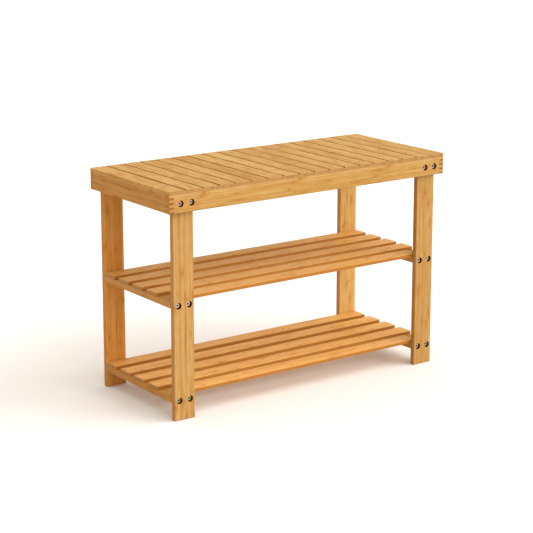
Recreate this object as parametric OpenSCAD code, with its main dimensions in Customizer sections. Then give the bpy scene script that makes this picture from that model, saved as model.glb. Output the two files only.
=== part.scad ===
// Entryway bench: a slatted bamboo seat over two open slatted shoe shelves.
// Millimetres. X runs along the bench, Y from front (-) to back (+), Z up from the floor.
// The origin is on the floor, under the middle of the bench.

/* [Overall] */
// Length of the seat, end to end
bench_l = 700; // [600:10:900]
// Depth of the seat, front to back
bench_w = 300; // [270:2:360]
// Height of the seat top above the floor
bench_h = 468; // [420:2:520]

/* [Seat] */
// Thickness of the seat slats
seat_slat_t = 8; // [7:0.5:12]
// Width of the shadow groove between two seat slats
groove_w = 3; // [1:0.5:4]
// Depth of the shadow groove between two seat slats
groove_d = 1.5; // [1:0.5:5]
// Height of the frame rails under the slats
rail_h = 37; // [32:1:50]
// Thickness of the frame rails
rail_t = 12; // [10:0.5:16]
// Number of fingers in each corner joint, shared by its two rails
fingers = 8; // [4:2:8]
// Width of the two long battens under the seat
batten_w = 30; // [20:1:45]
// Thickness of the battens under the seat
batten_t = 12; // [12:0.5:14]
// Distance of each batten from the middle of the seat
batten_y = 58; // [40:1:70]

/* [Legs] */
// Width of a leg, along the bench
leg_w = 47.5; // [44:0.5:60]
// Thickness of a leg, front to back
leg_t = 12; // [12:0.5:16]
// Distance from the end of the seat to the side of a leg
leg_inset = 16; // [14:1:40]

/* [Shelves] */
// Height of the middle of the lower cross rails
low_shelf_z = 41; // [30:1:120]
// Height of the middle of the upper cross rails
mid_shelf_z = 235; // [180:1:280]
// Thickness of the cross rails that carry the shelf slats
cross_t = 12; // [12:0.5:14]
// Thickness of the shelf slats
shelf_slat_t = 8; // [7:0.5:12]
// Width of a shelf slat
shelf_slat_w = 37; // [28:1:40]
// Length of the front slat of a shelf that lies on each cross rail
front_slat_bearing = 13.5; // [9:0.5:20]

/* [Fasteners] */
// Distance between the two bolts of a joint
bolt_gap = 25; // [22:1:28]
// Height of the seat bolts above the lower edge of the rail
rail_bolt_z = 18.5; // [14:0.5:22]
// Depth of the pocket that takes a bolt head
pocket_d = 8; // [5:0.5:8.5]

/* [Finish] */
// Radius of the rounded edges of the legs and seat slats
arris = 2; // [0.5:0.5:3]
// Radius of the rounded upright corners and lower edges of the seat frame
frame_arris = 3; // [1:0.5:5]

/* [Hidden] */
$fn = 48;
eps = 0.01;

// Seat and frame: eighteen slats side by side on the rails
seat_slats = 18;
seat_under = bench_h - seat_slat_t;
rail_z = seat_under - rail_h;
slat_pitch = bench_l / seat_slats;
finger_h = rail_h / fingers;
batten_l = bench_l - 2 * rail_t;
batten_z = seat_under - batten_t;
groove_arris = 0.8;
batten_arris = 1;

// Legs: middle in X, and outer and inner face in Y
leg_x = bench_l / 2 - leg_inset - leg_w / 2;
leg_face = bench_w / 2 - rail_t;
leg_back = leg_face - leg_t;

// Shelves: five slats spread evenly over the space between front and back legs
shelf_slats = 5;
shelf_pitch = (2 * leg_back - shelf_slat_w) / (shelf_slats - 1);
long_slat_l = 2 * leg_x + leg_w;
front_slat_l = 2 * leg_x - leg_w + 2 * front_slat_bearing;
front_screw_x = leg_x - leg_w / 2 + 4.3;
shelf_slat_arris = 2.2;
cross_arris = 1;

// M6 bolt with a low socket head
head_d = 10;
head_h = 4;
head_edge = 0.8;
socket_af = 4;
socket_d = 2.4;
shank_d = 5.9;
bore_d = 6.4;
pocket_r = 6.5;
shelf_bolt_l = 40;
rail_bolt_l = 14.5;
bolt_z = rail_z + rail_bolt_z;

// Barrel nut in a cross rail, and its pocket from below
nut_d = 9.9;
nut_l = 9.5;
nut_from_end = 27;
nut_pocket_d = 10;
nut_pocket_h = 10.5;
nut_slot = [6, 1.2, 1.2];

// Flanged insert nut in the inner face of a leg
insert_d = 9;
insert_l = 9.5;
insert_flange_d = 13;
insert_flange_t = 1.2;

// Countersunk wood screw, driven from below
screw_d = 3;
screw_head_d = 6;
screw_head_h = 1.8;
screw_point = 3;
screw_l = 18;
screw_slot = [3, 0.8, 2.2];

// Finishes
bamboo_pale = "#d9a866";
bamboo_mid = "#c58f4a";
bamboo_dark = "#b97f3d";
copper = "#b98a75";
zinc = "#c9c3a0";

// ---- Shapes that repeat ----

// Rectangle about the origin with round corners
module round_rect(w, h, r) {
    square([w - 2 * r, h], center = true);
    square([w, h - 2 * r], center = true);
    for (x = [-1, 1], y = [-1, 1])
        translate([x * (w / 2 - r), y * (h / 2 - r)]) circle(r);
}

// Bar about the origin with all its edges rounded
module bar(x, y, z, r) {
    intersection() {
        translate([0, 0, -z / 2]) linear_extrude(z) round_rect(x, y, r);
        translate([-x / 2, 0, 0]) rotate([90, 0, 90]) linear_extrude(x) round_rect(y, z, r);
        translate([0, y / 2, 0]) rotate([90, 0, 0]) linear_extrude(y) round_rect(x, z, r);
    }
}

// Turns what is drawn along +Z to run along Y: s = 1 towards +Y, s = -1 towards -Y
module along_y(s) {
    rotate([-90 * s, 0, 0]) children();
}

// The two bolt places of a joint, on both sides of x and at height z
module bolt_pair(x, z) {
    for (s = [-1, 1]) translate([x + s * bolt_gap / 2, 0, z]) children();
}

// Through hole along +Z with a wide pocket for the bolt head at its start
module bolt_hole(depth) {
    translate([0, 0, -1]) cylinder(h = depth + 2, d = bore_d);
    translate([0, 0, -1]) cylinder(h = pocket_d + 1, r = pocket_r);
}

// Socket head bolt along +Z, with the outer face of its head at z = 0
module socket_bolt(shank_l) {
    difference() {
        union() {
            cylinder(h = head_edge, d1 = head_d - 2 * head_edge, d2 = head_d);
            translate([0, 0, head_edge]) cylinder(h = head_h - head_edge, d = head_d);
            translate([0, 0, head_h]) cylinder(h = shank_l - head_edge, d = shank_d);
            translate([0, 0, head_h + shank_l - head_edge])
                cylinder(h = head_edge, d1 = shank_d, d2 = shank_d - 2 * head_edge);
        }
        translate([0, 0, -eps]) cylinder(h = socket_d, d = socket_af / cos(30), $fn = 6);
    }
}

// Countersunk screw along +Z, with the face of its head at z = 0
module wood_screw() {
    difference() {
        union() {
            cylinder(h = screw_head_h, d1 = screw_head_d, d2 = screw_d);
            translate([0, 0, screw_head_h]) cylinder(h = screw_l - screw_head_h - screw_point, d = screw_d);
            translate([0, 0, screw_l - screw_point]) cylinder(h = screw_point, d1 = screw_d, d2 = 0.6);
        }
        cube(screw_slot, center = true);
        rotate([0, 0, 90]) cube(screw_slot, center = true);
    }
}

// The space that a wood screw takes in the two pieces that it joins
module screw_hole() {
    translate([0, 0, -1]) cylinder(h = screw_l + 1, d = screw_d + 0.1);
    cylinder(h = screw_head_h, d1 = screw_head_d + 0.1, d2 = screw_d + 0.1);
}

// ---- Seat frame: four rails with finger joints at the corners ----

// The whole frame as one block, with round upright corners and round lower edges
module frame_block() {
    tall = rail_h + frame_arris;
    intersection() {
        translate([0, 0, rail_z]) linear_extrude(rail_h) round_rect(bench_l, bench_w, frame_arris);
        translate([-bench_l / 2, 0, rail_z + tall / 2])
            rotate([90, 0, 90]) linear_extrude(bench_l) round_rect(bench_w, tall, frame_arris);
        translate([0, bench_w / 2, rail_z + tall / 2])
            rotate([90, 0, 0]) linear_extrude(bench_w) round_rect(bench_l, tall, frame_arris);
    }
}

// Every second finger of the corner on sides sx and sy; first = 0 starts with the top one
module corner_fingers(sx, sy, first) {
    for (i = [first : 2 : fingers - 1])
        translate([
            sx * (bench_l - rail_t) / 2,
            sy * (bench_w - rail_t) / 2,
            seat_under - (i + 0.5) * finger_h
        ])
            cube([rail_t, rail_t, finger_h], center = true);
}

// A long rail: sy = -1 is the front, 1 the back
module long_rail(sy) {
    color(bamboo_pale) difference() {
        intersection() {
            frame_block();
            union() {
                translate([0, sy * (bench_w - rail_t) / 2, rail_z + rail_h / 2])
                    cube([bench_l - 2 * rail_t, rail_t, rail_h], center = true);
                corner_fingers(-1, sy, 0);
                corner_fingers(1, sy, 0);
            }
        }
        for (x = [-leg_x, leg_x]) bolt_pair(x, bolt_z)
            translate([0, sy * bench_w / 2, 0]) along_y(-sy) bolt_hole(rail_t);
    }
}

// An end rail: sx = -1 is the left, 1 the right
module end_rail(sx) {
    color(bamboo_mid) intersection() {
        frame_block();
        union() {
            translate([sx * (bench_l - rail_t) / 2, 0, rail_z + rail_h / 2])
                cube([rail_t, bench_w - 2 * rail_t, rail_h], center = true);
            corner_fingers(sx, -1, 1);
            corner_fingers(sx, 1, 1);
        }
    }
}

module front_rail() { long_rail(-1); }
module back_rail() { long_rail(1); }
module left_end_rail() { end_rail(-1); }
module right_end_rail() { end_rail(1); }

// ---- Seat ----

// Middle of seat slat i, counted from the left
function slat_x(i) = (i - 0.5) * slat_pitch - bench_l / 2;

// Cross-section of seat slat i: a step along each inner edge makes half a groove
module seat_slat_profile(i) {
    left = i == 1 ? 0 : groove_w / 2;
    right = i == seat_slats ? 0 : groove_w / 2;
    r = i == 1 || i == seat_slats ? arris : groove_arris;
    top_w = slat_pitch - left - right;
    translate([-slat_pitch / 2, 0]) square([slat_pitch, seat_slat_t - groove_d]);
    translate([left - slat_pitch / 2, 0]) {
        square([top_w, seat_slat_t - r]);
        translate([r, 0]) square([top_w - 2 * r, seat_slat_t]);
        for (x = [r, top_w - r]) translate([x, seat_slat_t - r]) circle(r);
    }
}

// A seat slat lies across the frame, with its two ends rounded over. The corners of the seat are
// round like those of the frame
module seat_slat(i) {
    tall = seat_slat_t + arris;
    color(bamboo_pale) difference() {
        translate([0, 0, seat_under]) intersection() {
            translate([slat_x(i), bench_w / 2, 0])
                rotate([90, 0, 0]) linear_extrude(bench_w) seat_slat_profile(i);
            translate([slat_x(i) - slat_pitch / 2, 0, seat_slat_t - tall / 2])
                rotate([90, 0, 90]) linear_extrude(slat_pitch) round_rect(bench_w, tall, arris);
            linear_extrude(seat_slat_t) round_rect(bench_l, bench_w, frame_arris);
        }
        for (y = [-batten_y, batten_y]) translate([slat_x(i), y, batten_z]) screw_hole();
    }
}

// A long batten under the slats, between the end rails
module seat_batten(sy) {
    color(bamboo_dark) difference() {
        translate([0, sy * batten_y, batten_z + batten_t / 2])
            bar(batten_l, batten_w, batten_t, batten_arris);
        for (i = [1 : seat_slats]) translate([slat_x(i), sy * batten_y, batten_z]) screw_hole();
    }
}

module front_batten() { seat_batten(-1); }
module back_batten() { seat_batten(1); }

// ---- Legs ----

// The space that an insert nut takes in a leg, along +Z from the face of its flange
module insert_space() {
    translate([0, 0, -1]) cylinder(h = insert_l + 1, d = insert_d);
    translate([0, 0, -1]) cylinder(h = insert_flange_t + 1, d = insert_flange_d);
}

// A flat leg behind a long rail, up to the underside of the slats
module leg(sx, sy) {
    color(bamboo_mid) difference() {
        translate([sx * leg_x, sy * (leg_face + leg_back) / 2, seat_under / 2])
            bar(leg_w, leg_t, seat_under, arris);
        for (z = [low_shelf_z, mid_shelf_z]) bolt_pair(sx * leg_x, z)
            translate([0, sy * leg_face, 0]) along_y(-sy) bolt_hole(leg_t);
        bolt_pair(sx * leg_x, bolt_z) {
            translate([0, sy * leg_face, 0]) along_y(-sy) cylinder(h = leg_t, d = bore_d);
            translate([0, sy * leg_back, 0]) along_y(sy) insert_space();
        }
    }
}

module front_left_leg() { leg(-1, -1); }
module front_right_leg() { leg(1, -1); }
module back_left_leg() { leg(-1, 1); }
module back_right_leg() { leg(1, 1); }

// ---- Shelves ----

// Middle of shelf slat i in Y, counted from the back; the last one is the short front slat
function shelf_y(i) = leg_back - shelf_slat_w / 2 - (i - 1) * shelf_pitch;

// Distance in X of the screws under shelf slat i from the middle of the bench
function shelf_screw_x(i) = i == shelf_slats ? front_screw_x : leg_x;

// A cross rail lies flat between a front and a back leg, with its middle at height z
module cross_rail(sx, z) {
    color(bamboo_dark) difference() {
        translate([sx * leg_x, 0, z]) bar(leg_w, 2 * leg_back, cross_t, cross_arris);
        for (sy = [-1, 1]) bolt_pair(sx * leg_x, z) {
            translate([0, sy * (leg_back + 1), 0]) along_y(-sy) cylinder(h = shelf_bolt_l, d = bore_d);
            translate([0, sy * (leg_back - nut_from_end), -cross_t / 2 - 1])
                cylinder(h = nut_pocket_h + 1, d = nut_pocket_d);
        }
        for (i = [1 : shelf_slats])
            translate([sx * shelf_screw_x(i), shelf_y(i), z - cross_t / 2]) screw_hole();
    }
}

// Shelf slat i, on the cross rails whose middle is at height z
module shelf_slat(i, z) {
    slat_l = i == shelf_slats ? front_slat_l : long_slat_l;
    color(bamboo_pale) difference() {
        translate([0, shelf_y(i), z + (cross_t + shelf_slat_t) / 2])
            bar(slat_l, shelf_slat_w, shelf_slat_t, shelf_slat_arris);
        for (sx = [-1, 1]) translate([sx * shelf_screw_x(i), shelf_y(i), z - cross_t / 2]) screw_hole();
    }
}

module middle_left_cross_rail() { cross_rail(-1, mid_shelf_z); }
module middle_right_cross_rail() { cross_rail(1, mid_shelf_z); }
module lower_left_cross_rail() { cross_rail(-1, low_shelf_z); }
module lower_right_cross_rail() { cross_rail(1, low_shelf_z); }

// ---- Fasteners ----

// The two bolt places of every leg at height z, with what sits there turned to point inwards
module every_leg(y, z) {
    for (sy = [-1, 1], x = [-leg_x, leg_x]) bolt_pair(x, z)
        translate([0, sy * y, 0]) along_y(-sy) children();
}

// Eight bolts that hold the legs in the long rails
module seat_bolts() {
    color(copper) every_leg(bench_w / 2 - pocket_d + head_h, bolt_z) socket_bolt(rail_bolt_l);
}

// Eight threaded inserts in the legs, one for each seat bolt
module insert_nuts() {
    color(zinc) every_leg(leg_back, bolt_z) mirror([0, 0, 1]) difference() {
        union() {
            cylinder(h = insert_l, d = insert_d);
            cylinder(h = insert_flange_t, d = insert_flange_d);
        }
        translate([0, 0, -1]) cylinder(h = insert_l + 2, d = shank_d + 0.1);
    }
}

// Sixteen bolts that go through the legs into the ends of the cross rails
module shelf_bolts() {
    color(zinc) for (z = [low_shelf_z, mid_shelf_z])
        every_leg(leg_face - pocket_d + head_h, z) socket_bolt(shelf_bolt_l);
}

// A barrel nut, upright, with its cross bore at the origin and a slot below
module barrel_nut() {
    foot = nut_pocket_h - nut_l - cross_t / 2;
    difference() {
        translate([0, 0, foot]) cylinder(h = nut_l, d = nut_d);
        rotate([90, 0, 0]) cylinder(h = nut_d + 2, d = shank_d + 0.1, center = true);
        translate([0, 0, foot]) cube(nut_slot, center = true);
    }
}

// Sixteen barrel nuts, pushed up into the cross rails from below
module barrel_nuts() {
    color(zinc) for (z = [low_shelf_z, mid_shelf_z], sy = [-1, 1], x = [-leg_x, leg_x]) bolt_pair(x, z)
        translate([0, sy * (leg_back - nut_from_end), 0]) barrel_nut();
}

// One screw for each seat slat in each batten
module seat_screws() {
    color(zinc) for (i = [1 : seat_slats], y = [-batten_y, batten_y])
        translate([slat_x(i), y, batten_z]) wood_screw();
}

// One screw under each end of each shelf slat
module shelf_screws() {
    color(zinc) for (z = [low_shelf_z, mid_shelf_z], i = [1 : shelf_slats], sx = [-1, 1])
        translate([sx * shelf_screw_x(i), shelf_y(i), z - cross_t / 2]) wood_screw();
}

// ---- Assembly ----

front_rail();
back_rail();
left_end_rail();
right_end_rail();
for (i = [1 : seat_slats])
    seat_slat(i);
front_batten();
back_batten();
front_left_leg();
front_right_leg();
back_left_leg();
back_right_leg();
middle_left_cross_rail();
middle_right_cross_rail();
lower_left_cross_rail();
lower_right_cross_rail();
for (i = [1 : shelf_slats]) {
    shelf_slat(i, mid_shelf_z);
    shelf_slat(i, low_shelf_z);
}
seat_bolts();
insert_nuts();
shelf_bolts();
barrel_nuts();
seat_screws();
shelf_screws();
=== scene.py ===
"""Entryway bench of laminated bamboo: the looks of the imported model, from the seat to the screws."""

import math
import random

import bmesh
import bpy
from mathutils import Matrix, Vector


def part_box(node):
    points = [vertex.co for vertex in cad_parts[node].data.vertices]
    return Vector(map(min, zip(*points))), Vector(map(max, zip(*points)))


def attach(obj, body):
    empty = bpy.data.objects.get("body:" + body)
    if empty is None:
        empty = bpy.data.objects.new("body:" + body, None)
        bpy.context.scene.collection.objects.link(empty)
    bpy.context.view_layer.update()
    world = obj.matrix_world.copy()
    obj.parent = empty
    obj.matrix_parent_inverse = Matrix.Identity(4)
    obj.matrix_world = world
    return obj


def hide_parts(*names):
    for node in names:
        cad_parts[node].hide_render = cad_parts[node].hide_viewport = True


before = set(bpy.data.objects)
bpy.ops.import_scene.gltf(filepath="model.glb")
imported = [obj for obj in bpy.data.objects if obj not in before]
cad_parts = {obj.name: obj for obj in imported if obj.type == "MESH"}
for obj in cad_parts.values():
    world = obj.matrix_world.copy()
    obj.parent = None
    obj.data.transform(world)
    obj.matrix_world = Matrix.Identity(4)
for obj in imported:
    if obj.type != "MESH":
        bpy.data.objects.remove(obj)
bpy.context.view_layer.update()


# ---- Camera ----
# A long lens stands off to the left of the front, a little above the seat, and looks slightly down.
# Its small shift keeps the uprights of the bench nearly parallel.

VIEW_FROM = (-1.9891, -2.7357, 1.1105)
VIEW_TURN = math.radians(35.86)
VIEW_DIP = math.radians(12.36)
LENS = 110.8
SHIFT = -0.1135

camera_data = bpy.data.cameras.new("camera")
camera_data.lens = LENS
camera_data.shift_y = SHIFT
camera = bpy.data.objects.new("camera", camera_data)
camera.location = VIEW_FROM
camera.rotation_euler = (math.pi / 2 - VIEW_DIP, 0, -VIEW_TURN)
bpy.context.scene.collection.objects.link(camera)
bpy.context.scene.camera = camera


# ---- Seat slats ----
# Eighteen boards of side-pressed bamboo lie across the frame, glued to the rails side by side.
# Each is laminated from upright strips. A shallow rebate along its edges makes the shadow grooves.

MM = 0.001
X, Y, Z = 0, 1, 2


class Flow:
    """A socket of a shader node. An expression on flows adds the Math nodes that work it out."""

    def __init__(self, finish, socket):
        self.finish = finish
        self.socket = socket

    def __add__(self, other):
        return self.finish.maths("ADD", self, other)

    def __radd__(self, other):
        return self.finish.maths("ADD", other, self)

    def __sub__(self, other):
        return self.finish.maths("SUBTRACT", self, other)

    def __rsub__(self, other):
        return self.finish.maths("SUBTRACT", other, self)

    def __mul__(self, other):
        return self.finish.maths("MULTIPLY", self, other)

    def __rmul__(self, other):
        return self.finish.maths("MULTIPLY", other, self)

    def __truediv__(self, other):
        return self.finish.maths("DIVIDE", self, other)

    def __floordiv__(self, other):
        return self.finish.maths("FLOOR", self / other)

    def __mod__(self, other):
        return self.finish.maths("FLOORED_MODULO", self, other)

    def __abs__(self):
        return self.finish.maths("ABSOLUTE", self)

    def step(self, low, high):
        """Rises smoothly from 0 to 1 while this value goes from low to high."""
        inputs = {"Value": self, "From Min": low, "From Max": high}
        return self.finish.node("MapRange", {"interpolation_type": "SMOOTHSTEP"}, inputs)


class Finish:
    """A procedural material, built node by node around a Principled shader."""

    def __init__(self, name):
        self.material = bpy.data.materials.new(name)
        self.material.use_nodes = True
        self.tree = self.material.node_tree
        self.surface = self.tree.nodes["Principled BSDF"]

    def node(self, kind, settings, inputs, output=0):
        """Adds a node with these settings, then gives its sockets numbers or links."""
        node = self.tree.nodes.new("ShaderNode" + kind)
        for name, value in settings.items():
            if name == "stops":
                self.set_stops(node.color_ramp, value)
            else:
                setattr(node, name, value)
        self.feed(node, inputs)
        return Flow(self, node.outputs[output])

    def maths(self, operation, *terms):
        """A Math node, which works out one operation on numbers or flows."""
        return self.node("Math", {"operation": operation}, dict(enumerate(terms)))

    def set_stops(self, ramp, stops):
        """Gives a colour ramp its stops, as pairs of a place from 0 to 1 and a colour."""
        while len(ramp.elements) < len(stops):
            ramp.elements.new(1)
        for element, (place, colour) in zip(ramp.elements, stops):
            element.position = place
            element.color = (*colour, 1)

    def feed(self, node, inputs):
        """Links the flows to the sockets of a node, and sets the rest as plain values."""
        for key, value in inputs.items():
            if isinstance(value, Flow):
                self.tree.links.new(value.socket, node.inputs[key])
            else:
                node.inputs[key].default_value = value

    def look(self, **inputs):
        """Sets the sockets of the Principled shader: Base_Color stands for Base Color."""
        self.feed(self.surface, {key.replace("_", " "): value for key, value in inputs.items()})

    def overlay(self, share, colour):
        """Lays a colour over the present Base Color, by a share from 0 to 1."""
        below = Flow(self, self.surface.inputs["Base Color"].links[0].from_socket)
        self.look(Base_Color=self.mix(share, below, colour))

    def put_on(self, piece):
        """Gives a piece this material in place of those that it has."""
        piece.data.materials.clear()
        piece.data.materials.append(self.material)

    def place(self):
        """The three coordinates of a point, in millimetres."""
        where = self.node("TexCoord", {}, {}, "Object")
        return [self.node("SeparateXYZ", {}, {0: where}, axis) / MM for axis in (X, Y, Z)]

    def vector(self, x, y, z):
        return self.node("CombineXYZ", {}, {0: x, 1: y, 2: z})

    def noise(self, where, detail=2.0, roughness=0.5):
        """Noise around 0.5, with features about as large as a unit of where."""
        inputs = {"Vector": where, "Scale": 1.0, "Detail": detail, "Roughness": roughness}
        return self.node("TexNoise", {}, inputs)

    def mix(self, share, first, second):
        """A colour between two, by a share from 0 to 1."""
        inputs = {0: share}
        for index, colour in ((6, first), (7, second)):
            inputs[index] = colour if isinstance(colour, Flow) else (*colour, 1)
        return self.node("Mix", {"data_type": "RGBA"}, inputs, 2)

    def bump(self, height, distance, strength):
        """A normal bent by a height that stands for distance metres where it is 1."""
        inputs = {"Height": height, "Distance": distance, "Strength": strength}
        return self.node("Bump", {}, inputs)


# Honey-coloured heat-treated bamboo: dark streaks first, the palest straw last
BAMBOO_TONES = [
    (0.0, (0.34, 0.120, 0.014)),
    (0.3, (0.42, 0.185, 0.030)),
    (0.55, (0.47, 0.235, 0.050)),
    (0.8, (0.52, 0.290, 0.080)),
    (1.0, (0.57, 0.345, 0.120)),
]
KNUCKLE = (0.36, 0.115, 0.014)
SEAM = (0.26, 0.090, 0.014)
# The outer skin of the stalk on the narrow sides of a board, made darker as painted shade on those sides
SKIN_AND_SIDE_SHADE = (0.36, 0.135, 0.018)
END_GRAIN = (0.36, 0.175, 0.050)
END_PORES = (0.16, 0.060, 0.018)
SHEEN = 0.12
VARNISH = 0.03
VARNISH_ROUGHNESS = 0.3
GRAIN_HEIGHT = 0.12 * MM


def bamboo(
    name, grain, across, strip, layers=1, tone=0.0, cast=(1, 1, 1), figure=1.0, skin_and_shade=0.7, ends=END_GRAIN
):
    """Gives a board its own lot of bamboo, laminated from strips that run along the grain axis.
    across is the axis along which strips lie side by side, each about strip millimetres wide.
    A higher tone is paler, and cast scales the red, the green and the blue of its wood.
    figure is the strength of its streaks; the skin share sets how much of the darker skin colour its
    narrow sides get, partly the stalk's skin and partly painted shade."""
    lot = random.Random(name)
    low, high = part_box(name)
    through = 3 - grain - across
    width = (high[across] - low[across]) / MM
    depth = (high[through] - low[through]) / MM
    strip_w = width / round(width / strip)
    layer_t = depth / layers
    finish = Finish("bamboo_" + name)

    place = finish.place()
    along = place[grain] - low[grain] / MM + lot.uniform(0, 400)
    side = place[across] - low[across] / MM
    deep = place[through] - low[through] / MM
    # The faces of the board lie just inside the outer strips, so that these don't flicker
    strip_id = (side * 0.998 + 0.04) // strip_w
    layer_id = (deep * 0.996 + 0.02) // layer_t
    piece = finish.vector(strip_id + lot.uniform(0, 90), layer_id * 7.0 + lot.uniform(0, 90), 0.0)
    draws = finish.node("TexWhiteNoise", {"noise_dimensions": "3D"}, {"Vector": piece}, "Color")
    shade, shift, spacing = [finish.node("SeparateColor", {}, {0: draws}, i) for i in range(3)]

    # Fibres: broad streaks and fine lines, both drawn out along the grain, and cloudy blotches
    own = strip_id * 13.0 + layer_id * 31.0
    streaks = finish.noise(finish.vector(along * 0.008 + own, side * 0.5, deep * 0.5), 3.0, 0.6)
    lines = finish.noise(finish.vector(along * 0.03 + own, side * 2.6, deep * 2.6), 2.0, 0.6)
    cloud = finish.noise(finish.vector(along * 0.035, side * 0.09, deep * 0.09), 2.0, 0.55)

    # Knuckles: each strip has one every 20 to 30 cm, with a soft stain around it
    period = spacing * 110.0 + 190.0
    ragged = (finish.noise(finish.vector(along * 0.1, side * 0.7, deep * 0.7)) - 0.5) * 6.0
    reach = abs((along + shift * period + ragged) % period - period / 2)
    knuckle = 1 - reach.step(0.5, 5.0)
    stain = 1 - reach.step(2.0, 22.0)

    # Glue lines between the strips
    edge_gap = abs((side + strip_w / 2) % strip_w - strip_w / 2)
    seam = 1 - edge_gap.step(0.06, 0.22)

    fibres = (streaks - 0.5) * (1.4 * figure) + (lines - 0.5) * (0.9 * figure)
    level = 0.56 + tone + (shade - 0.5) * 0.3 + fibres + (cloud - 0.5) * (0.5 * figure)
    level = level - stain * (shift * 0.3)
    stops = [(stop, [part * scale for part, scale in zip(tint, cast)]) for stop, tint in BAMBOO_TONES]
    colour = finish.node("ValToRGB", {"stops": stops}, {0: level})
    colour = finish.mix(knuckle * (shade * 0.5 + 0.15), colour, KNUCKLE)
    colour = finish.mix(seam * 0.22, colour, SEAM)

    # The narrow sides show the skin, darkened further as painted shade, and the cut ends show the fibre
    # bundles as dark dots
    normal = finish.node("TexCoord", {}, {}, "Normal")
    facing = [abs(finish.node("SeparateXYZ", {}, {0: normal}, axis)) for axis in (X, Y, Z)]
    side_skin_and_shade = facing[across].step(0.5, 0.85)
    colour = finish.mix(side_skin_and_shade * (lines * 0.5 + (skin_and_shade - 0.25)), colour, SKIN_AND_SIDE_SHADE)
    end = facing[grain].step(0.55, 0.8)
    cells = finish.node("TexVoronoi", {}, {"Vector": finish.vector(side, deep, own), "Scale": 1.5})
    pores = 1 - cells.step(0.12, 0.42)
    cut = finish.mix(pores * 0.35 + (shade - 0.5) * 0.4 + (cloud - 0.5) * 0.5, ends, END_PORES)
    colour = finish.mix(end, colour, cut)

    roughness = 0.5 + (lines - 0.5) * 0.16 + knuckle * 0.05 + end * 0.16
    height = (streaks * 0.5 + lines * 0.5) * (1 - end) - seam * 0.5 - pores * (end * 0.8) + knuckle * 0.6
    finish.look(
        Base_Color=colour,
        Roughness=roughness,
        Specular_IOR_Level=SHEEN,
        Coat_Weight=VARNISH,
        Coat_Roughness=VARNISH_ROUGHNESS,
        Normal=finish.bump(height, GRAIN_HEIGHT, 0.7),
    )
    finish.put_on(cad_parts[name])
    return finish


SLATS = 18
SEAT_STRIP = 6.5
SEAT_ENDS = (0.375, 0.200, 0.066)
SEAT_TONE = 0.04
SEAT_CAST = (0.98, 1.03, 0.88)
# Slats cut from a darker or a paler lot than the rest
SLAT_TONES = {2: 0.05, 4: -0.10, 6: -0.24, 7: 0.05, 8: 0.10, 10: -0.06, 13: -0.12, 15: 0.08, 17: -0.06}
# Depth of a shadow groove, and how far it reaches into each of its two slats: they bound the painted
# shade in it
GROOVE_DEEP = 1.5
GROOVE_SIDE = 1.5
# The colour of the painted shade in the grooves
GROOVE_PAINTED_SHADE = (0.17, 0.045, 0.007)

seat_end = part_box("front_rail")[1].x / MM


def paint_groove_shade(board, low, high):
    """Paints shade into the grooves beside the top of a slat, darker deeper down, but not on its side at
    an end of the seat.
    """
    x, y, z = board.place()
    wall = (high.x - low.x) / 2 / MM - GROOVE_SIDE
    top = high.z / MM
    beside = abs(x - (low.x + high.x) / 2 / MM).step(wall - 0.5, wall - 0.15)
    above_floor = z.step(top - GROOVE_DEEP - 0.2, top - GROOVE_DEEP - 0.1)
    sunk = 1 - z.step(top - GROOVE_DEEP / 2, top - 0.12)
    inside = 1 - abs(x).step(seat_end - 3, seat_end - 2)
    board.overlay(beside * inside * above_floor * (sunk * 0.9), GROOVE_PAINTED_SHADE)


for i in range(1, SLATS + 1):
    name = f"seat_slat_{i}"
    tone = SLAT_TONES.get(i, 0.0) + SEAT_TONE
    slat = bamboo(name, Y, X, SEAT_STRIP, tone=tone, cast=SEAT_CAST, figure=2.2, skin_and_shade=0.3, ends=SEAT_ENDS)
    paint_groove_shade(slat, *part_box(name))


# ---- Seat frame ----
# Two long rails and two end rails of side-pressed bamboo, glued together with finger joints.
# Their strips lie one above the other, so the wide faces show level bands.

RAIL_STRIP = 6.2
# The wood of the long and of the end rails, and the end grain of their fingers
LONG_CAST = (0.87, 0.90, 0.96)
LONG_ENDS = (0.33, 0.145, 0.033)
# The end rails' deeper orange cast is partly their own wood and partly painted shade of their outer faces
SHORT_CAST_AND_PAINTED_SHADE = (0.82, 0.73, 0.56)
SHORT_ENDS = (0.29, 0.105, 0.018)
# Each pair of bolts: the distance between them, and their height above the foot of a long rail
BOLT_GAP = 25.0
BOLT_RISE = 18.5
# The radius of a bolt pocket, and the colour painted in it: bare drilled wood deepened with painted shade
POCKET_R = 6.5
POCKET_WOOD_AND_SHADE = (0.10, 0.035, 0.012)

seat_bolt_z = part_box("front_rail")[0].z / MM + BOLT_RISE


def paint_pocket_wood_and_shade(board, heights):
    """Paints the bolt pockets of a board dark, partly as bare drilled wood and partly as painted shade;
    the pockets lie in pairs at these heights.
    """
    x, y, z = board.place()
    leg_low, leg_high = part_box("front_right_leg")
    from_bolt = abs(abs(x) - (leg_low.x + leg_high.x) / 2 / MM) - BOLT_GAP / 2
    rise = abs(z - heights[0])
    for height in heights[1:]:
        rise = board.maths("MINIMUM", rise, abs(z - height))
    from_axis = board.maths("SQRT", from_bolt * from_bolt + rise * rise)
    board.overlay(1 - from_axis.step(POCKET_R - 0.05, POCKET_R + 0.25), POCKET_WOOD_AND_SHADE)


for name in ("front_rail", "back_rail"):
    rail = bamboo(name, X, Z, RAIL_STRIP, tone=0.12, cast=LONG_CAST, skin_and_shade=0.3, ends=LONG_ENDS)
    paint_pocket_wood_and_shade(rail, [seat_bolt_z])
for name in ("left_end_rail", "right_end_rail"):
    bamboo(name, Y, Z, RAIL_STRIP, cast=SHORT_CAST_AND_PAINTED_SHADE, skin_and_shade=0.3, ends=SHORT_ENDS)


# ---- Battens ----
# Two lengths of plain-pressed bamboo under the slats, each screwed to all of them.
# Their strips lie flat, two layers deep, so they are broader than those of the other boards.

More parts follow.
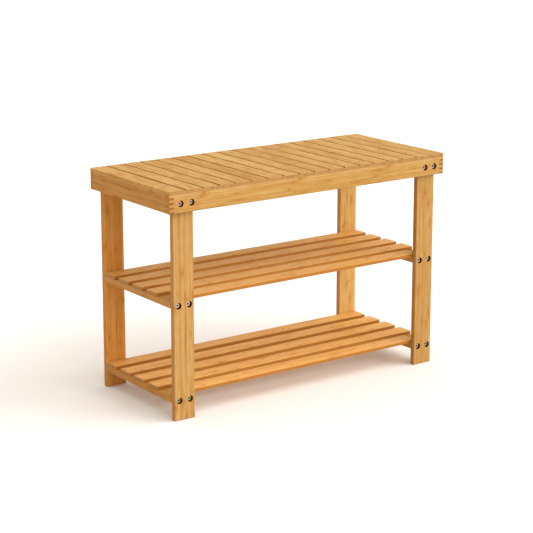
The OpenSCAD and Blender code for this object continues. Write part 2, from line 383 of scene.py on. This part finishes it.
BATTEN_STRIP = 15.0

for name in ("front_batten", "back_batten"):
    bamboo(name, X, Y, BATTEN_STRIP, layers=2, tone=-0.08)


# ---- Legs ----
# Four flat posts with rounded edges, two layers thick, bolted behind the long rails.
# Each leg's paleness and cast hold painted light and shade, so the back ones don't quite match the front
# ones: the back right one is painted paler where the seat shades it, the back left one a deeper orange.

BOARD_STRIP = 6.0
# For each leg how pale it is, and the cast of its red, green and blue, which hold painted light and shade
LEG_PAINTED_LIGHT = {
    "front_left": (0.04, (0.90, 0.97, 1.27)),
    "front_right": (0.0, (0.89, 0.97, 1.28)),
    "back_left": (-0.06, (1.20, 1.10, 1.10)),
    "back_right": (0.24, (1.20, 1.28, 1.45)),
}

shelf_bolt_z = []
for level in ("lower", "middle"):
    rail_low, rail_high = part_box(f"{level}_left_cross_rail")
    shelf_bolt_z.append((rail_low.z + rail_high.z) / 2 / MM)
for corner, (tone, cast) in LEG_PAINTED_LIGHT.items():
    leg = bamboo(f"{corner}_leg", Z, X, BOARD_STRIP, layers=2, tone=tone, cast=cast, skin_and_shade=0.55)
    paint_pocket_wood_and_shade(leg, shelf_bolt_z)


# ---- Cross rails ----
# A flat board at each end of each shelf, of the same two-layer bamboo as the legs.
# It is bolted between a front and a back leg, and the shelf slats lie on it.

for level in ("middle", "lower"):
    for side in ("left", "right"):
        bamboo(f"{level}_{side}_cross_rail", Y, X, BOARD_STRIP, layers=2, tone=0.05, skin_and_shade=0.35)


# ---- Shelf slats ----
# Five thin boards to a shelf, screwed to the cross rails from below; the front one is shorter.
# They are painted paler, as painted light where the seat shades them, and their narrow sides are painted
# dark, partly as skin and partly as painted shade.

# The shelf slats' pale cast, which is painted light where the seat shades them
SHELF_CAST_AND_PAINTED_LIGHT = (1.29, 1.21, 1.06)

for level in ("middle", "lower"):
    for i in range(1, 6):
        name = f"{level}_slat_{i}"
        bamboo(name, X, Y, BOARD_STRIP, tone=0.28, cast=SHELF_CAST_AND_PAINTED_LIGHT, figure=1.6, skin_and_shade=0.92)


# ---- Bolts ----
# M6 screws with low heads, turned and knurled, with a hexagon socket, sunk in pockets in the wood.
# Eight copper-plated ones hold the legs to the seat frame.
# Sixteen zinc-plated ones hold the cross rails between the legs.

ROUND = 48
SMOOTH_UNDER = math.radians(30)
HEAD_SUNK = 4 * MM
HEAD_R = 5.0
HEAD_H = 4.0
HEAD_CHAMFER = 0.6
# Size of the knurl at its valleys, against its ridges
KNURL = 0.965
# The socket: its round mouth, its corners, and the depths of its lead-in, walls and pointed floor
MOUTH_R = 2.7
SOCKET_R = 2.31
LEAD_IN = 0.25
SOCKET_DEEP = 2.4
SOCKET_POINT = 0.6
THREAD_R = 3.0
THREAD_PITCH = 1.0
THREAD_DEEP = 0.55
SEAT_BOLT_L = 14.5
SEAT_BOLT_THREADED = 12.0
SHELF_BOLT_L = 40.0
SHELF_BOLT_THREADED = 22.0


def turned(shape, outline, closed=False):
    """Spins an outline of (radius, height) points about Z, as on a lathe."""
    corners = [shape.verts.new((r, 0, z)) for r, z in outline]
    ends = zip(corners, corners[1:] + corners[:1]) if closed else zip(corners, corners[1:])
    lines = [shape.edges.new(pair) for pair in ends]
    bmesh.ops.spin(
        shape,
        geom=corners + lines,
        axis=(0, 0, 1),
        cent=(0, 0, 0),
        angle=2 * math.pi,
        steps=ROUND,
        use_merge=True,
    )
    bmesh.ops.remove_doubles(shape, verts=shape.verts, dist=0.001)


def thread(start, end, crest):
    """The outline of a screw thread, drawn as a row of ridges up to the radius crest."""
    points = []
    root = crest - THREAD_DEEP
    for turn in range(int((end - start) / THREAD_PITCH)):
        z = start + turn * THREAD_PITCH
        points += [(root, z + 0.1), (crest, z + 0.45), (crest, z + 0.6), (root, z + 0.95)]
    return points


def bolt_shape(length, threaded):
    """A bolt along +Z in millimetres, with the face of its head at the origin."""
    shape = bmesh.new()
    shank_r = THREAD_R - 0.05
    tip = HEAD_H + length
    # The head from its mouth outwards, a fillet under it, and the shank with its thread and blunt tip
    outline = [(MOUTH_R, 0), (HEAD_R - HEAD_CHAMFER, 0)]
    outline += [(HEAD_R - 0.3 * HEAD_CHAMFER, 0.3 * HEAD_CHAMFER), (HEAD_R, HEAD_CHAMFER)]
    outline += [(HEAD_R, HEAD_H - 0.2), (HEAD_R - 0.2, HEAD_H)]
    outline += [(THREAD_R + 0.3, HEAD_H), (shank_r, HEAD_H + 0.3), (shank_r, tip - threaded)]
    outline += thread(tip - threaded, tip - 0.5, THREAD_R - 0.02)
    outline += [(THREAD_R - 0.9, tip), (0, tip)]
    turned(shape, outline)

    # The knurl: every second corner round the edge of the head is drawn in
    slice_angle = 2 * math.pi / ROUND
    edge_corners = [v for v in shape.verts if abs(v.co.xy.length - HEAD_R) < 0.01]
    valleys = [v for v in edge_corners if round(math.atan2(v.co.y, v.co.x) / slice_angle) % 2]
    bmesh.ops.scale(shape, vec=(KNURL, KNURL, 1), verts=valleys)

    # The socket: a six-sided ring is joined to the round mouth, pushed in and closed with a blunt point
    mouth = [e for e in shape.edges if e.is_boundary]
    bmesh.ops.create_circle(shape, segments=6, radius=SOCKET_R)
    rim = [e for e in shape.edges if e.is_wire]
    bmesh.ops.subdivide_edges(shape, edges=rim, cuts=ROUND // 6 - 1)
    rim = [e for e in shape.edges if e.is_wire]
    bmesh.ops.translate(shape, vec=(0, 0, LEAD_IN), verts=list({v for e in rim for v in e.verts}))
    bmesh.ops.bridge_loops(shape, edges=mouth + rim)
    head_faces = set(shape.faces)
    for drop, narrow in ((SOCKET_DEEP - LEAD_IN, 1.0), (SOCKET_POINT, 0.001)):
        grown = bmesh.ops.extrude_edge_only(shape, edges=rim)["geom"]
        rim = [e for e in grown if isinstance(e, bmesh.types.BMEdge) and e.is_boundary]
        foot = [v for v in grown if isinstance(v, bmesh.types.BMVert)]
        bmesh.ops.translate(shape, vec=(0, 0, drop), verts=foot)
        bmesh.ops.scale(shape, vec=(narrow, narrow, 1), verts=foot)
    # The socket faces take the second material, which paints their shade near black
    for face in set(shape.faces) - head_faces:
        face.material_index = 1
    bmesh.ops.remove_doubles(shape, verts=shape.verts, dist=0.01)
    bmesh.ops.recalc_face_normals(shape, faces=shape.faces)
    return shape


def add_piece(name, shape):
    """Makes a piece from a finished shape in metres. It rides on the one body of the bench."""
    mesh = bpy.data.meshes.new(name)
    shape.to_mesh(mesh)
    shape.free()
    for face in mesh.polygons:
        face.use_smooth = True
    mesh.set_sharp_from_angle(angle=SMOOTH_UNDER)
    piece = bpy.data.objects.new(name, mesh)
    bpy.context.scene.collection.objects.link(piece)
    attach(piece, "root")
    return piece


def copies(shape, places):
    """One shape in metres, with a copy of a shape in millimetres at each place."""
    pattern = bpy.data.meshes.new("pattern")
    shape.to_mesh(pattern)
    shape.free()
    group = bmesh.new()
    for place in places:
        known = len(group.verts)
        group.from_mesh(pattern)
        group.verts.ensure_lookup_table()
        bmesh.ops.transform(group, matrix=place @ Matrix.Scale(MM, 4), verts=group.verts[known:])
    bpy.data.meshes.remove(pattern)
    return group


def bolt_places(heights, faces):
    """Where bolts sit in all four legs: two side by side at each height, pointing inwards.
    faces gives the Y of the bolt's start on the front and on the back of the bench."""
    places = []
    for end, face, turn in (("front", faces[0], -90), ("back", faces[1], 90)):
        for side in ("left", "right"):
            low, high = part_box(f"{end}_{side}_leg")
            middle = (low.x + high.x) / 2
            for height in heights:
                for offset in (-BOLT_GAP / 2 * MM, BOLT_GAP / 2 * MM):
                    spot = Matrix.Translation((middle + offset, face, height * MM))
                    places.append(spot @ Matrix.Rotation(math.radians(turn), 4, "X"))
    return places


def plated(name, bright, dull, roughness=0.26):
    """Plated steel: a metal with a faint mottle between two colours, and fine scuffs."""
    finish = Finish(name)
    x, y, z = finish.place()
    mottle = finish.noise(finish.vector(x * 0.5, y * 0.5, z * 0.5), 3.0, 0.6)
    scuffs = finish.noise(finish.vector(x * 4.0, y * 4.0, z * 4.0), 2.0, 0.7)
    finish.look(
        Base_Color=finish.mix(mottle.step(0.35, 0.65), bright, dull),
        Metallic=1.0,
        Roughness=scuffs * 0.2 + (roughness - 0.1),
        Normal=finish.bump(scuffs, 0.02 * MM, 0.4),
    )
    return finish


COPPER_PLATING = plated("copper_plating", (0.82, 0.50, 0.42), (0.56, 0.30, 0.26))
ZINC_PLATING = plated("zinc_plating", (0.80, 0.52, 0.45), (0.62, 0.48, 0.38))
GREEN_ZINC_PLATING = plated("green_zinc_plating", (0.52, 0.56, 0.22), (0.34, 0.36, 0.12))
# Painted shade: the sockets are painted near black, standing in for the shade deep inside them
SOCKET_PAINTED_SHADE = plated("socket_painted_shade", (0.055, 0.045, 0.040), (0.03, 0.025, 0.022), 0.5)

rail_low, rail_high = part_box("front_rail")
back_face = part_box("back_rail")[1].y
seat_bolts = add_piece(
    "seat_bolt_set",
    copies(
        bolt_shape(SEAT_BOLT_L, SEAT_BOLT_THREADED),
        bolt_places([seat_bolt_z], (rail_low.y + HEAD_SUNK, back_face - HEAD_SUNK)),
    ),
)
for finish in (COPPER_PLATING, SOCKET_PAINTED_SHADE):
    seat_bolts.data.materials.append(finish.material)
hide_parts("seat_bolts")

leg_low, leg_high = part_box("front_left_leg")
shelf_set = copies(
    bolt_shape(SHELF_BOLT_L, SHELF_BOLT_THREADED),
    bolt_places(shelf_bolt_z, (leg_low.y + HEAD_SUNK, -leg_low.y - HEAD_SUNK)),
)
# The two at the foot of the front left leg are from a greener batch
for face in shelf_set.faces:
    spot = face.calc_center_median()
    if face.material_index == 0 and spot.x < 0 and spot.y < 0 and spot.z < 0.1:
        face.material_index = 2
shelf_bolts = add_piece("shelf_bolt_set", shelf_set)
for finish in (ZINC_PLATING, SOCKET_PAINTED_SHADE, GREEN_ZINC_PLATING):
    shelf_bolts.data.materials.append(finish.material)
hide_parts("shelf_bolts")


# ---- Nuts ----
# A flanged insert is screwed into the inner face of each leg for every seat bolt.
# Barrel nuts for the shelf bolts sit in blind holes in the undersides of the cross rails.
# They and the wood screws of the seat and the shelves have the same zinc plating.

INSERT_R = 4.5
INSERT_L = 9.5
FLANGE_R = 6.5
FLANGE_T = 1.2
FLANGE_CHAMFER = 0.25
BORE_R = THREAD_R + 0.05

# The flange from its bore outwards, the coarse outer thread, and back through the bore
insert_outline = [(BORE_R + 0.3, 0), (FLANGE_R - FLANGE_CHAMFER, 0), (FLANGE_R, FLANGE_CHAMFER)]
insert_outline += [(FLANGE_R, FLANGE_T), (INSERT_R - THREAD_DEEP, FLANGE_T)]
insert_outline += thread(FLANGE_T + 0.3, INSERT_L - 0.6, INSERT_R)
insert_outline += [(INSERT_R - 0.9, INSERT_L), (BORE_R, INSERT_L), (BORE_R, 0.4)]
insert = bmesh.new()
turned(insert, insert_outline, closed=True)
bmesh.ops.rotate(insert, matrix=Matrix.Rotation(math.pi, 3, "X"), verts=insert.verts)
bmesh.ops.recalc_face_normals(insert, faces=insert.faces)
inner_face = leg_high.y
insert_set = add_piece(
    "insert_nut_set",
    copies(insert, bolt_places([seat_bolt_z], (inner_face, -inner_face))),
)
ZINC_PLATING.put_on(insert_set)
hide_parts("insert_nuts")

for name in ("barrel_nuts", "seat_screws", "shelf_screws"):
    ZINC_PLATING.put_on(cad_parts[name])


# ---- Studio ----
# A plain pale floor, which isn't part of the bench, under soft light.
# Broad lamps stand to the right and in front, and the sky is a warm white.

FLOOR_HALF = 15
FLOOR_PAINT = (0.85, 0.85, 0.85, 1)
LAMP_SPREAD = math.radians(50)
SKY = (1, 0.93, 0.84, 1)

floor_shape = bmesh.new()
bmesh.ops.create_grid(floor_shape, x_segments=1, y_segments=1, size=FLOOR_HALF)
floor_mesh = bpy.data.meshes.new("floor")
floor_shape.to_mesh(floor_mesh)
floor_shape.free()
floor = bpy.data.objects.new("floor", floor_mesh)
bpy.context.scene.collection.objects.link(floor)
paint = Finish("floor_paint")
paint.look(Base_Color=FLOOR_PAINT, Roughness=0.9)
paint.put_on(floor)

# Where each lamp's light comes from, and its strength
LAMPS = {"side_lamp": ((0.70, -0.45, 0.55), 1.9), "front_lamp": ((0.15, -0.80, 0.58), 0.9)}
for name, (source, strength) in LAMPS.items():
    lamp_data = bpy.data.lights.new(name, "SUN")
    lamp_data.angle = LAMP_SPREAD
    lamp_data.energy = strength
    lamp = bpy.data.objects.new(name, lamp_data)
    lamp.rotation_euler = Vector(source).to_track_quat("Z", "Y").to_euler()
    bpy.context.scene.collection.objects.link(lamp)

world = bpy.data.worlds.new("white_sky")
world.use_nodes = True
world.node_tree.nodes["Background"].inputs["Color"].default_value = SKY
bpy.context.scene.world = world
bpy.context.scene.view_settings.view_transform = "Standard"
